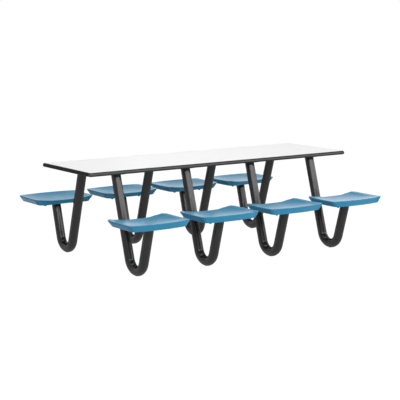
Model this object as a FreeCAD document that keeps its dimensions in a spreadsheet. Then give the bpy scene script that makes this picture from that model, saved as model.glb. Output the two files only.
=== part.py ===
import FreeCAD, Part
import math
import os
import re
import Sketcher
from FreeCAD import Placement, Rotation, Vector

# Cafeteria table with eight attached seats, in millimetres.
# X runs along the table, Y across it, Z up. The origin is on the floor under the middle of the top.
# Front is the -Y side, rear is the +Y side. Pieces are numbered from the -X end.

doc = FreeCAD.newDocument("cafeteria_table")
sheet = doc.addObject("Spreadsheet::Sheet", "Dims")

DIMENSIONS = {
    # table top
    "table_length": 2452,
    "table_width": 742,
    "table_height": 762,
    "corner_radius": 23,
    "laminate_thick": 1.2,
    "core_thick": 27.4,
    "backer_thick": 0.9,
    "edge_cover": 16,
    "upper_nose": 15.5,
    "lower_nose": 12.5,
    "barb_depth": 5.5,
    "barb_thick": 3,
    "groove_depth": 6,
    # legs
    "leg_spacing": 622,
    "bend_place": 529.7,
    "bend_radius": 101.6,
    "tube_radius": 36,
    "tube_bore": 33.5,
    "table_lean": 16.9,
    "seat_lean": 15.85,
    "tube_clear": 1.2,
    # floor glides
    "glide_radius": 9,
    "glide_height": 5,
    "glide_stem_radius": 4,
    "glide_stem_height": 14,
    "glide_edge": 0.8,
    # cross rails and spine under the top
    "rail_length": 600,
    "rail_web": 130,
    "rail_brim": 25,
    "rail_depth": 8,
    "rail_metal": 2.5,
    "spine_length": 2066,
    "spine_width": 50,
    "spine_depth": 35,
    "spine_wall": 2.5,
    # mounting plates
    "leg_plate_thick": 4.5,
    "leg_plate_length": 140,
    "leg_plate_width": 110,
    "leg_plate_place": 235,
    "leg_plate_corner": 30,
    "leg_hole_x": 52,
    "leg_hole_y": 24,
    "leg_hole_middle": 218,
    "seat_plate_thick": 5,
    "seat_plate_length": 300,
    "seat_plate_width": 160,
    "seat_plate_place": 704,
    "seat_plate_corner": 18,
    "seat_plate_height": 382,
    "seat_hole_x": 130,
    "seat_hole_y": 63,
    # seat shell: heights and wall, then its outline at the lower edge and at the rim
    "seat_bottom": 397,
    "seat_rim": 444.5,
    "seat_wall": 5,
    "seat_rim_round": 5,
    "seat_low_half": 228,
    "seat_low_inner": 528,
    "seat_low_bend": 10,
    "seat_low_outer": 879,
    "seat_low_inner_corner": 54,
    "seat_low_outer_corner": 28,
    "seat_rim_half": 262,
    "seat_rim_inner": 521,
    "seat_rim_bend": 18,
    "seat_rim_outer": 889,
    "seat_rim_inner_corner": 47,
    "seat_rim_outer_corner": 28,
    "seat_bow": 1000,
    # widths between which the table side's bend and its drop fade out, and how deep it all is
    "wall_scoop_start": 105,
    "wall_scoop_end": 172,
    "seat_scoop_start": 105,
    "seat_scoop_end": 215,
    "seat_drop": 16,
    "seat_drop_start": 60,
    "seat_drop_end": 260,
    "seat_dish": 14,
    # under the seat
    "boss_radius": 14,
    "insert_depth": 18,
    "insert_room": 0.5,
    "rib_thick": 3,
    "rib_rise": 8,
    "rib_root": 1.5,
    # fasteners
    "bolt_radius": 4,
    "bolt_head_radius": 7,
    "bolt_head_height": 4.4,
    "bolt_tip": 1,
    "nut_radius": 7.5,
    "nut_height": 4,
    "seat_bolt_radius": 5,
    "seat_bolt_head_radius": 9.8,
    "seat_bolt_head_height": 6.4,
    "seat_bolt_length": 22,
    "washer_radius": 10.5,
    "washer_thick": 2,
    "insert_radius": 7,
    "screw_radius": 2.5,
    "screw_head_radius": 5,
    "screw_head_height": 3,
    "screw_length": 19,
    "screw_room": 1,
    "hole_play": 0.4,
    "thread_play": 0.05,
    "spine_bolt_place": 40,
    "screw_near": 95,
    "screw_far": 265,
}


def fill_sheet():
    for row, (name, size) in enumerate(DIMENSIONS.items(), start=1):
        sheet.set("A%d" % row, name)
        sheet.set("B%d" % row, str(size))
        sheet.setAlias("B%d" % row, name)
    doc.recompute()


def amount(expression):
    return float(sheet.evalExpression(expression))


def dims(expression):
    """Puts the sheet's name before every alias in an expression."""
    def named(found):
        word = found.group()
        return "Dims." + word if word in DIMENSIONS else word
    return re.sub("[a-z_]+", named, expression)


# ---------------------------------------------------------------- heights and places

UNDERSIDE = "table_height - laminate_thick - core_thick - backer_thick"
RAIL_BOTTOM = UNDERSIDE + " - rail_depth"
LEG_PLATE_BOTTOM = RAIL_BOTTOM + " - leg_plate_thick"
BEND_HEIGHT = "tube_clear + tube_radius + bend_radius"
SEAT_PLATE_TOP = "seat_plate_height + seat_plate_thick"


def leg_columns():
    spacing = amount("Dims.leg_spacing")
    return [(number, (number - 2.5) * spacing) for number in (1, 2, 3, 4)]


def both_sides():
    """The front pieces are drawn in place; the rear ones are the same turned half a turn."""
    return [("front", Rotation(Vector(0, 0, 1), 0)), ("rear", Rotation(Vector(0, 0, 1), 180))]


# ---------------------------------------------------------------- drawing helpers

def new_body(label):
    body = doc.addObject("PartDesign::Body", label)
    body.Label = label
    return body


def sketch_on(body, role, name, offset=None):
    sketch = body.newObject("Sketcher::SketchObject", name)
    plane = [feature for feature in body.Origin.OriginFeatures if feature.Role == role][0]
    sketch.AttachmentSupport = (plane, [""])
    sketch.MapMode = "FlatFace"
    if offset:
        sketch.setExpression(".AttachmentOffset.Base.z", dims(offset))
    return sketch


def bind(sketch, bound):
    """Adds constraints in one go; each comes with the expression that drives it."""
    first = sketch.ConstraintCount
    sketch.addConstraint([constraint for constraint, _ in bound])
    for index, (_, expression) in enumerate(bound, start=first):
        sketch.setExpression("Constraints[%d]" % index, dims(expression))


def arc_between(start, end, radius, leftward):
    """The short arc from start to end, turning left or right on the way."""
    chord = end - start
    side = Vector(-chord.y, chord.x, 0).normalize()
    reach = math.sqrt(radius ** 2 - (chord.Length / 2) ** 2)
    centre = (start + end) * 0.5 + side * (reach if leftward else -reach)
    first, last = (start, end) if leftward else (end, start)
    angles = [math.atan2(point.y - centre.y, point.x - centre.x) for point in (first, last)]
    return Part.ArcOfCircle(Part.Circle(centre, Vector(0, 0, 1), radius), *angles)


def trace(sketch, steps, closed=True):
    """Draws straight and curved runs through corners whose places are expressions.

    Each step is (x, y) or (x, y, radius, turn): the run that leaves that corner is
    straight, or an arc of that radius that turns left or right.
    """
    corners = [Vector(amount(dims(step[0])), amount(dims(step[1])), 0) for step in steps]
    runs = len(steps) if closed else len(steps) - 1
    ends = []
    for index in range(runs):
        start = corners[index]
        end = corners[(index + 1) % len(corners)]
        if len(steps[index]) == 2:
            sketch.addGeometry(Part.LineSegment(start, end))
            ends.append((1, 2))
        else:
            leftward = steps[index][3] == "left"
            sketch.addGeometry(arc_between(start, end, amount(dims(steps[index][2])), leftward))
            ends.append((1, 2) if leftward else (2, 1))
    joins = []
    for index in range(runs if closed else runs - 1):
        after = (index + 1) % runs
        joins.append(Sketcher.Constraint("Coincident", index, ends[index][1], after, ends[after][0]))
    sketch.addConstraint(joins)
    bound = []
    for index in range(runs):
        bound += point_bounds(index, ends[index][0], corners[index], steps[index])
        if len(steps[index]) > 2:
            radius = amount(dims(steps[index][2]))
            bound.append((Sketcher.Constraint("Radius", index, radius), steps[index][2]))
    if not closed:
        bound += point_bounds(runs - 1, ends[-1][1], corners[-1], steps[-1])
    bind(sketch, bound)


def point_bounds(line, end, point, step):
    """Constraints that hold one end of a run at the place that its expressions give."""
    return [
        (Sketcher.Constraint("DistanceX", line, end, point.x), step[0]),
        (Sketcher.Constraint("DistanceY", line, end, point.y), step[1]),
    ]


def rounded_rectangle(sketch, length, width, radius):
    """A rectangle about the sketch's origin with four equal round corners.

    The right side is in two halves that meet on the X axis.
    """
    right, top = "(%s) / 2" % length, "(%s) / 2" % width
    inner_x, inner_y = "%s - (%s)" % (right, radius), "%s - (%s)" % (top, radius)
    trace(sketch, [
        (right, "0"),
        (right, inner_y, radius, "left"),
        (inner_x, top),
        ("-(%s)" % inner_x, top, radius, "left"),
        ("-(%s)" % right, inner_y),
        ("-(%s)" % right, "-(%s)" % inner_y, radius, "left"),
        ("-(%s)" % inner_x, "-(%s)" % top),
        (inner_x, "-(%s)" % top, radius, "left"),
        (right, "-(%s)" % inner_y),
    ])


def circles(sketch, places, radius):
    """Equal circles; each place is a pair of expressions."""
    bound = []
    for place in places:
        centre = Vector(amount(dims(place[0])), amount(dims(place[1])), 0)
        circle = Part.Circle(centre, Vector(0, 0, 1), amount(dims(radius)))
        index = sketch.addGeometry(circle)
        bound += point_bounds(index, 3, centre, place)
        bound.append((Sketcher.Constraint("Radius", index, circle.Radius), radius))
    bind(sketch, bound)


def four_ways(x, y):
    return [(x, y), ("-" + x, y), ("-" + x, "-" + y), (x, "-" + y)]


def pad(body, sketch, length, symmetric=False):
    feature = body.newObject("PartDesign::Pad", "Pad")
    feature.Profile = sketch
    feature.setExpression("Length", dims(length))
    if symmetric:
        feature.SideType = "Symmetric"
    return feature


def pocket(body, sketch, depth, symmetric=False, upward=False):
    feature = body.newObject("PartDesign::Pocket", "Pocket")
    feature.Profile = sketch
    feature.setExpression("Length", dims(depth))
    feature.Reversed = upward
    if symmetric:
        feature.SideType = "Symmetric"
    before = body.Shape.Volume
    doc.recompute()
    if not body.Shape.Volume < before - 1:
        raise RuntimeError(body.Label + ": a pocket removed nothing")
    return feature


def sweep(body, profile, path):
    feature = body.newObject("PartDesign::AdditivePipe", "Pipe")
    feature.Profile = profile
    feature.Spine = (path, [])
    return feature


def set_height(piece, expression):
    piece.setExpression(".Placement.Base.z", dims(expression))


def group_of_solids(label, master, places):
    """One node that holds a separate copy of the master at each place."""
    doc.recompute()
    copies = []
    for place in places:
        solid = master.Shape.copy()
        solid.Placement = place.multiply(solid.Placement)
        copies.append(solid)
    group = doc.addObject("Part::Feature", label)
    group.Label = label
    group.Shape = Part.makeCompound(copies)
    return group


# ---------------------------------------------------------------- table top

def table_core():
    """The board, with a groove all round for the moulding's barb and blind holes for the screws."""
    body = new_body("table_core")
    wide = ("table_length - 2 * edge_cover", "table_width - 2 * edge_cover")
    inset = "2 * (edge_cover + groove_depth)"
    narrow = ("table_length - " + inset, "table_width - " + inset)
    lip = "(core_thick - barb_thick - thread_play) / 2"
    layers = [
        (wide, "corner_radius - edge_cover", "0", lip),
        (narrow, "corner_radius - edge_cover - groove_depth", lip, "barb_thick + thread_play"),
        (wide, "corner_radius - edge_cover", "(core_thick + barb_thick + thread_play) / 2", lip),
    ]
    for (length, width), radius, start, thick in layers:
        sketch = sketch_on(body, "XY_Plane", "Layer", start)
        rounded_rectangle(sketch, length, width, radius)
        pad(body, sketch, thick)
    doc.recompute()
    holes = sketch_on(body, "XY_Plane", "ScrewHoles")
    circles(holes, screw_places(), "screw_radius + thread_play")
    pocket(body, holes, "screw_length - rail_metal - backer_thick + screw_room", upward=True)
    set_height(body, UNDERSIDE + " + backer_thick")


def flat_sheet(label, thick, height, drilled):
    body = new_body(label)
    sketch = sketch_on(body, "XY_Plane", "Outline")
    length, width = "table_length - 2 * edge_cover", "table_width - 2 * edge_cover"
    rounded_rectangle(sketch, length, width, "corner_radius - edge_cover")
    if drilled:
        circles(sketch, screw_places(), "screw_radius + thread_play")
    pad(body, sketch, thick)
    set_height(body, height)


def edge_moulding():
    """A T-shaped moulding: a full round nose outside the core and a barb in the core's groove."""
    body = new_body("edge_moulding")
    path = sketch_on(body, "XY_Plane", "Path")
    length, width = "table_length - 2 * edge_cover", "table_width - 2 * edge_cover"
    rounded_rectangle(path, length, width, "corner_radius - edge_cover")
    profile = sketch_on(body, "XZ_Plane", "Profile")
    back = "table_length / 2 - edge_cover"
    front = "table_length / 2"
    high = "laminate_thick + core_thick + backer_thick"
    barb_low = "backer_thick + (core_thick - barb_thick) / 2"
    barb_high = "backer_thick + (core_thick + barb_thick) / 2"
    trace(profile, [
        (back, "0"),
        (front + " - lower_nose", "0", "lower_nose", "left"),
        (front, "lower_nose"),
        (front, high + " - upper_nose", "upper_nose", "left"),
        (front + " - upper_nose", high),
        (back, high),
        (back, barb_high),
        (back + " - barb_depth", barb_high),
        (back + " - barb_depth", barb_low),
        (back, barb_low),
    ])
    sweep(body, profile, path)
    set_height(body, UNDERSIDE)


def screw_places():
    """Wood screws through both brims of every cross rail."""
    across = "(rail_web + rail_brim) / 2"
    places = []
    for _, column in leg_columns():
        for side in ("+", "-"):
            x = "%s * leg_spacing %s %s" % (column / amount("Dims.leg_spacing"), side, across)
            for y in ("screw_near", "screw_far"):
                places += [(x, y), (x, "-" + y)]
    return places


# ---------------------------------------------------------------- frame under the top

def cross_rail(number, column):
    """A hat section with its web down; the brims are screwed to the core."""
    body = new_body("cross_rail_%d" % number)
    profile = sketch_on(body, "XZ_Plane", "Section")
    web, brim = "rail_web / 2", "rail_web / 2 + rail_brim"
    step = "rail_web / 2 - rail_metal"
    trace(profile, [
        ("-(%s)" % web, "0"),
        (web, "0"),
        (web, "rail_depth - rail_metal"),
        (brim, "rail_depth - rail_metal"),
        (brim, "rail_depth"),
        (step, "rail_depth"),
        (step, "rail_metal"),
        ("-(%s)" % step, "rail_metal"),
        ("-(%s)" % step, "rail_depth"),
        ("-(%s)" % brim, "rail_depth"),
        ("-(%s)" % brim, "rail_depth - rail_metal"),
        ("-(%s)" % web, "rail_depth - rail_metal"),
    ])
    pad(body, profile, "rail_length", symmetric=True)
    doc.recompute()
    web_holes = sketch_on(body, "XY_Plane", "WebHoles")
    leg_holes = []
    for y in ("leg_hole_middle + leg_hole_y", "leg_hole_middle - leg_hole_y"):
        leg_holes += [("leg_hole_x", y), ("-leg_hole_x", y)]
        leg_holes += [("leg_hole_x", "-(%s)" % y), ("-leg_hole_x", "-(%s)" % y)]
    spine_holes = [("spine_bolt_place", "0"), ("-spine_bolt_place", "0")]
    circles(web_holes, leg_holes + spine_holes, "bolt_radius + hole_play")
    pocket(body, web_holes, "rail_metal", upward=True)
    brim_holes = sketch_on(body, "XY_Plane", "BrimHoles", "rail_depth")
    across = "(rail_web + rail_brim) / 2"
    places = four_ways(across, "screw_near") + four_ways(across, "screw_far")
    circles(brim_holes, places, "screw_radius + hole_play")
    pocket(body, brim_holes, "rail_metal")
    body.Placement.Base = Vector(column, 0, 0)
    set_height(body, RAIL_BOTTOM)


def frame_spine():
    """A rectangular tube under the rails, bolted right through."""
    body = new_body("frame_spine")
    section = sketch_on(body, "YZ_Plane", "Section")
    for side in ("0", "spine_wall"):
        half = "spine_width / 2 - " + side
        low, high = side, "spine_depth - " + side
        trace_into(section, [("-(%s)" % half, low), (half, low), (half, high), ("-(%s)" % half, high)])
    pad(body, section, "spine_length", symmetric=True)
    doc.recompute()
    holes = sketch_on(body, "XY_Plane", "BoltHoles")
    places = []
    for _, column in leg_columns():
        share = column / amount("Dims.leg_spacing")
        for side in ("+", "-"):
            places.append(("%s * leg_spacing %s spine_bolt_place" % (share, side), "0"))
    circles(holes, places, "bolt_radius + hole_play")
    pocket(body, holes, "spine_depth", upward=True)
    set_height(body, RAIL_BOTTOM + " - spine_depth")


def trace_into(sketch, steps):
    """A closed straight-sided outline added beside what the sketch already holds."""
    first = sketch.GeometryCount
    corners = [Vector(amount(dims(x)), amount(dims(y)), 0) for x, y in steps]
    for index, start in enumerate(corners):
        sketch.addGeometry(Part.LineSegment(start, corners[(index + 1) % len(corners)]))
    joins, bound = [], []
    for index, start in enumerate(corners):
        line, after = first + index, first + (index + 1) % len(corners)
        joins.append(Sketcher.Constraint("Coincident", line, 2, after, 1))
        bound += point_bounds(line, 1, start, steps[index])
    sketch.addConstraint(joins)
    bind(sketch, bound)


# ---------------------------------------------------------------- legs

def arm_end(lean, top):
    """Where an arm's centre line crosses a height, out from the bend's centre."""
    along = "(%s - (%s)) * tan(%s)" % (top, BEND_HEIGHT, lean)
    return "bend_radius / cos(%s) + %s" % (lean, along)


def arm(body, ring, sign, lean, top):
    """Half of the bend and one straight arm, swept from the lowest point of the tube."""
    path = sketch_on(body, "YZ_Plane", "Path")
    turn = "left" if sign == "" else "right"
    tangent_y = "%sbend_radius * cos(%s)" % (sign, lean)
    tangent_z = "%s - bend_radius * sin(%s)" % (BEND_HEIGHT, lean)
    trace(path, [
        ("0", "tube_clear + tube_radius", "bend_radius", turn),
        (tangent_y, tangent_z),
        ("%s(%s)" % (sign, arm_end(lean, top)), top),
    ], closed=False)
    sweep(body, ring, path)


def leg(label, place):
    """One tube bent into a V; both ends are cut level for their plates."""
    body = new_body(label)
    ring = sketch_on(body, "XZ_Plane", "Ring")
    circles(ring, [("0", "tube_clear + tube_radius")], "tube_radius")
    circles(ring, [("0", "tube_clear + tube_radius")], "tube_bore")
    over = " + tube_radius"
    arm(body, ring, "", "table_lean", LEG_PLATE_BOTTOM + over)
    arm(body, ring, "-", "seat_lean", "seat_plate_height" + over)
    doc.recompute()
    for sign, lean, top in (("", "table_lean", LEG_PLATE_BOTTOM), ("-", "seat_lean", "seat_plate_height")):
        above = sketch_on(body, "YZ_Plane", "AboveArm")
        middle = arm_end(lean, top)
        near = "%s(%s - 3 * tube_radius)" % (sign, middle)
        far = "%s(%s + 3 * tube_radius)" % (sign, middle)
        high = top + " + 3 * tube_radius"
        trace(above, [(near, top), (far, top), (far, high), (near, high)])
        pocket(body, above, "3 * tube_radius", symmetric=True)
    stem_hole = sketch_on(body, "XY_Plane", "StemHole")
    circles(stem_hole, [("0", "0")], "glide_stem_radius + thread_play")
    pocket(body, stem_hole, "tube_clear + tube_radius", upward=True)
    body.Placement = place.multiply(Placement(Vector(0, -amount("Dims.bend_place"), 0), Rotation()))


def floor_glide():
    """A nylon button whose top is hollowed to the bend, with a stem up into the tube."""
    body = new_body("glide_master")
    disc = sketch_on(body, "XY_Plane", "Disc")
    circles(disc, [("0", "0")], "glide_radius")
    button = pad(body, disc, "glide_height")
    doc.recompute()
    rim = [name for name in edge_names(button) if abs(button.Shape.getElement(name).CenterOfMass.z) < 0.01]
    chamfer = body.newObject("PartDesign::Chamfer", "LowerEdge")
    chamfer.Base = (button, rim)
    chamfer.setExpression("Size", dims("glide_edge"))
    bend = sketch_on(body, "XZ_Plane", "BendSection")
    circles(bend, [("0", "tube_clear + tube_radius")], "tube_radius")
    height, reach = amount(dims(BEND_HEIGHT)), amount("Dims.tube_radius")
    axis = bend.addGeometry(Part.LineSegment(Vector(-reach, height, 0), Vector(reach, height, 0)), True)
    bend.addConstraint(Sketcher.Constraint("Horizontal", axis))
    bind(bend, [
        (Sketcher.Constraint("DistanceX", axis, 1, -reach), "-tube_radius"),
        (Sketcher.Constraint("DistanceX", axis, 2, reach), "tube_radius"),
        (Sketcher.Constraint("DistanceY", axis, 1, height), BEND_HEIGHT),
    ])
    doc.recompute()
    groove = body.newObject("PartDesign::Groove", "Saddle")
    groove.Profile = bend
    groove.ReferenceAxis = (bend, ["Axis0"])
    groove.Angle = 360
    doc.recompute()
    stem_sketch = sketch_on(body, "XY_Plane", "StemSketch", "glide_edge")
    circles(stem_sketch, [("0", "0")], "glide_stem_radius")
    pad(body, stem_sketch, "glide_stem_height")
    doc.recompute()
    return body


def edge_names(feature):
    return ["Edge%d" % (index + 1) for index in range(len(feature.Shape.Edges))]


# ---------------------------------------------------------------- mounting plates

def plate(label, kind, height, holes, hole_radius, place):
    """A flat plate; the sheet gives its sizes under the kind's name."""
    body = new_body(label)
    sketch = sketch_on(body, "XY_Plane", "Outline")
    rounded_rectangle(sketch, kind + "_length", kind + "_width", kind + "_corner")
    circles(sketch, holes, hole_radius)
    pad(body, sketch, kind + "_thick")
    at = Vector(0, -amount("Dims.%s_place" % kind), amount(dims(height)))
    body.Placement = place.multiply(Placement(at, Rotation()))


def leg_plate(label, place):
    near, far = ["leg_plate_place - leg_hole_middle %s leg_hole_y" % sign for sign in ("+", "-")]
    holes = [(x, y) for x in ("leg_hole_x", "-leg_hole_x") for y in (near, far)]
    plate(label, "leg_plate", LEG_PLATE_BOTTOM, holes, "bolt_radius + hole_play", place)


def seat_plate(label, place):
    holes = four_ways("seat_hole_x", "seat_hole_y")
    plate(label, "seat_plate", "seat_plate_height", holes, "seat_bolt_radius + hole_play", place)


# ---------------------------------------------------------------- seats

EDGE_SIZES = ("half", "inner", "bend", "outer", "inner_corner", "outer_corner")
SIGNS = [(x, y) for x in (-1, 1) for y in (-1, 1)]


def seat_edge(level):
    """The sheet's sizes of the seat's outline seen from above, at its lower edge or at its rim.

    They are: half width, distance of the table side from the table's middle, how far that side
    bends in at its middle, distance of the outer side, and the two corner radii.
    """
    return {name: amount("Dims.seat_%s_%s" % (level, name)) for name in EDGE_SIZES}


def smooth(low, high, value):
    share = min(max((value - low) / (high - low), 0.0), 1.0)
    return share * share * (3 - 2 * share)


def fades(alias, across):
    """One at the middle of the seat, falling to nothing between two widths of the sheet."""
    return 1 - smooth(amount("Dims.%s_start" % alias), amount("Dims.%s_end" % alias), abs(across))


def seat_top(across, out):
    """Height of the sitting surface at a place across the seat and out from the table."""
    rim_edge = seat_edge("rim")
    rim = amount("Dims.seat_rim")
    inner = rim_edge["inner"] + rim_edge["bend"] * fades("seat_scoop", across)
    outer = rim_edge["outer"] - across ** 2 / (2 * amount("Dims.seat_bow"))
    share = (out - inner) / (outer - inner)
    table_side = rim - amount("Dims.seat_drop") * fades("seat_drop", across)
    level = table_side + (rim - table_side) * max(share, 0) ** 1.5
    hollow = (1 - (across / rim_edge["half"]) ** 4) * 4 * share * (1 - share)
    return level - amount("Dims.seat_dish") * hollow


def outline_at(height, inset=0.0):
    """The seat's outline at a height: the two outlines above, blended and carried on past them."""
    bottom, rim = amount("Dims.seat_bottom"), amount("Dims.seat_rim")
    share = (height - bottom) / (rim - bottom)
    low_edge, rim_edge = seat_edge("low"), seat_edge("rim")
    now = {name: low_edge[name] + share * (rim_edge[name] - low_edge[name]) for name in EDGE_SIZES}
    half = now["half"] - inset
    inner = now["inner"] + inset
    outer = now["outer"] - inset
    near = now["inner_corner"] - inset
    far = now["outer_corner"] - inset
    bow = amount("Dims.seat_bow") - inset

    def at(x, y):
        return Vector(x, -y, height)

    def table_side(x):
        return at(x, inner + now["bend"] * fades("wall_scoop", x))

    reach = half - near
    steps = 24
    inner_points = [table_side(-reach + 2 * reach * step / steps) for step in range(steps + 1)]
    inner_curve = Part.BSplineCurve()
    inner_curve.interpolate(Points=inner_points, InitialTangent=Vector(1, 0, 0), FinalTangent=Vector(1, 0, 0))
    bow_centre = outer - bow
    corner_out = bow_centre + math.sqrt((bow - far) ** 2 - (half - far) ** 2)
    lean = math.atan2(corner_out - bow_centre, half - far)
    tangent_x = bow * math.cos(lean)
    tangent_y = bow_centre + bow * math.sin(lean)
    near_turn = near * math.sqrt(0.5)
    far_x = half - far + far * math.cos(lean / 2)
    far_y = corner_out + far * math.sin(lean / 2)
    near_mid_x, near_mid_y = half - near + near_turn, inner + near - near_turn

    def corner(x, y):
        return Part.Arc(*[at(px, py) for px, py in zip(x, y)]).toShape()

    edges = [
        inner_curve.toShape(),
        corner((reach, near_mid_x, half), (inner, near_mid_y, inner + near)),
        Part.LineSegment(at(half, inner + near), at(half, corner_out)).toShape(),
        corner((half, far_x, tangent_x), (corner_out, far_y, tangent_y)),
        Part.Arc(at(tangent_x, tangent_y), at(0, outer), at(-tangent_x, tangent_y)).toShape(),
        corner((-tangent_x, -far_x, -half), (tangent_y, far_y, corner_out)),
        Part.LineSegment(at(-half, corner_out), at(-half, inner + near)).toShape(),
        corner((-half, -near_mid_x, -reach), (inner + near, near_mid_y, inner)),
    ]
    return Part.Wire(edges)


def below_sitting_surface(drop):
    """Everything under the sitting surface, lowered by a drop; it reaches past the seat all round."""
    rim_edge = seat_edge("rim")
    margin, depth = 20, 150
    columns, rows = 29, 21
    wide = rim_edge["half"] + margin
    first, last = rim_edge["inner"] - margin, rim_edge["outer"] + margin
    grid = []
    for i in range(columns):
        across = -wide + 2 * wide * i / (columns - 1)
        line = []
        for j in range(rows):
            out = first + (last - first) * j / (rows - 1)
            line.append(Vector(across, -out, seat_top(across, out) - drop))
        grid.append(line)
    surface = Part.BSplineSurface()
    surface.interpolate(grid)
    return surface.toShape().extrude(Vector(0, 0, -depth))


def seat_shape():
    """An open-bottomed shell with a turned-down rim, four bosses and ribs between them."""
    bottom = amount("Dims.seat_bottom")
    wall = amount("Dims.seat_wall")
    past = 20                                    # how far the rough blocks run above the rim
    under = 1                                    # and how far the hollow runs below the lower edge
    over = amount("Dims.seat_rim") + past
    block = Part.makeLoft([outline_at(bottom), outline_at(over)], True, True)
    outside = block.common(below_sitting_surface(0))
    rim_edges = [item for item in outside.Edges if item.BoundBox.ZMin > bottom + past / 2]
    rim_edges = [item for item in rim_edges if item.BoundBox.ZLength < past]
    outside = outside.makeFillet(amount("Dims.seat_rim_round"), rim_edges)
    hollow = Part.makeLoft([outline_at(bottom - under, wall), outline_at(over, wall)], True, True)
    hollow = hollow.common(below_sitting_surface(wall))
    shell = outside.cut(hollow)
    shell = shell.fuse([seat_ribs(hollow)] + seat_bosses())
    for x, y in seat_bolt_points():
        depth = amount("Dims.insert_depth + Dims.insert_room")
        start = Vector(x, y, amount(dims(SEAT_PLATE_TOP)) - 1)
        shell = shell.cut(Part.makeCylinder(amount("Dims.insert_radius + Dims.thread_play"), depth + 1, start))
    return shell.removeSplitter()


def seat_bolt_points():
    hole_x, hole_y = amount("Dims.seat_hole_x"), amount("Dims.seat_hole_y")
    place = amount("Dims.seat_plate_place")
    return [(x * hole_x, y * hole_y - place) for x, y in SIGNS]


def seat_bosses():
    """Round posts from the plate up into the shell."""
    foot = amount(dims(SEAT_PLATE_TOP))
    radius = amount("Dims.boss_radius")
    under = below_sitting_surface(amount("Dims.seat_wall") / 2)
    height = amount("Dims.seat_rim") - foot
    bosses = []
    for x, y in seat_bolt_points():
        post = Part.makeCylinder(radius, height, Vector(x, y, foot))
        bosses.append(post.common(under))
    return bosses


def seat_ribs(hollow):
    """Thin ribs under the shell, through the bosses both ways, rooted a little in the shell."""
    rim_edge = seat_edge("rim")
    thick, root = amount("Dims.rib_thick"), amount("Dims.rib_root")
    low = amount("Dims.seat_bottom + Dims.rib_rise")
    height = amount("Dims.seat_rim") - low
    wide, deep = 2 * rim_edge["half"], rim_edge["outer"] - rim_edge["inner"]
    hole_x, hole_y = amount("Dims.seat_hole_x"), amount("Dims.seat_hole_y")
    place = amount("Dims.seat_plate_place")
    bars = []
    for y in (-hole_y, hole_y):
        start = Vector(-wide / 2, y - place - thick / 2, low)
        bars.append(Part.makeBox(wide, thick, height, start))
    for x in (-hole_x, 0, hole_x):
        start = Vector(x - thick / 2, -rim_edge["outer"], low)
        bars.append(Part.makeBox(thick, deep, height, start))
    room = hollow.fuse(hollow.translated(Vector(0, 0, root)))
    return bars[0].fuse(bars[1:]).common(room)


def seat(shape, label, place):
    piece = doc.addObject("Part::Feature", label)
    piece.Label = label
    piece.Shape = shape
    piece.Placement = place


# ---------------------------------------------------------------- fasteners

def turned_master(label, steps):
    """A round piece turned about Z from half its section."""
    body = new_body(label)
    half = sketch_on(body, "XZ_Plane", "HalfSection")
    trace(half, steps)
    turn = body.newObject("PartDesign::Revolution", "Turn")
    turn.Profile = half
    turn.ReferenceAxis = (half, ["V_Axis"])
    turn.Angle = 360
    doc.recompute()
    return body


def headed(label, shank, head, head_height, length):
    """A fastener with its head below Z zero and its shank above."""
    return turned_master(label, [
        ("0", "-(%s)" % head_height),
        (head, "-(%s)" % head_height),
        (head, "0"),
        (shank, "0"),
        (shank, length),
        ("0", length),
    ])


def hexagon(sketch, radius):
    """A hexagon about the origin with two corners on the X axis."""
    corners = []
    for step in range(6):
        corners.append(("%s * cos(%d)" % (radius, 60 * step), "%s * sin(%d)" % (radius, 60 * step)))
    trace_into(sketch, corners)


def hex_piece(label, radius, height, bore=None, shank=None, length=None):
    """A hexagonal nut with a bore, or a bolt with a hexagonal head under its shank."""
    body = new_body(label)
    flats = sketch_on(body, "XY_Plane", "Flats")
    hexagon(flats, radius)
    if bore:
        circles(flats, [("0", "0")], bore)
    pad(body, flats, height)
    if shank:
        doc.recompute()
        round_part = sketch_on(body, "XY_Plane", "RoundPart")
        circles(round_part, [("0", "0")], shank)
        pad(body, round_part, "%s + %s" % (height, length))
    doc.recompute()
    return body


def at_every_leg(points, height):
    """Places round every leg: the front ones as given, the rear ones turned half a turn."""
    places = []
    for _, column in leg_columns():
        for _, turn in both_sides():
            base = Placement(Vector(column, 0, 0), turn)
            places += [base.multiply(Placement(Vector(x, y, height), Rotation())) for x, y in points]
    return places


def leg_bolt_points():
    hole_x, hole_y = amount("Dims.leg_hole_x"), amount("Dims.leg_hole_y")
    middle = amount("Dims.leg_hole_middle")
    return [(x * hole_x, y * hole_y - middle) for x, y in SIGNS]


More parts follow.
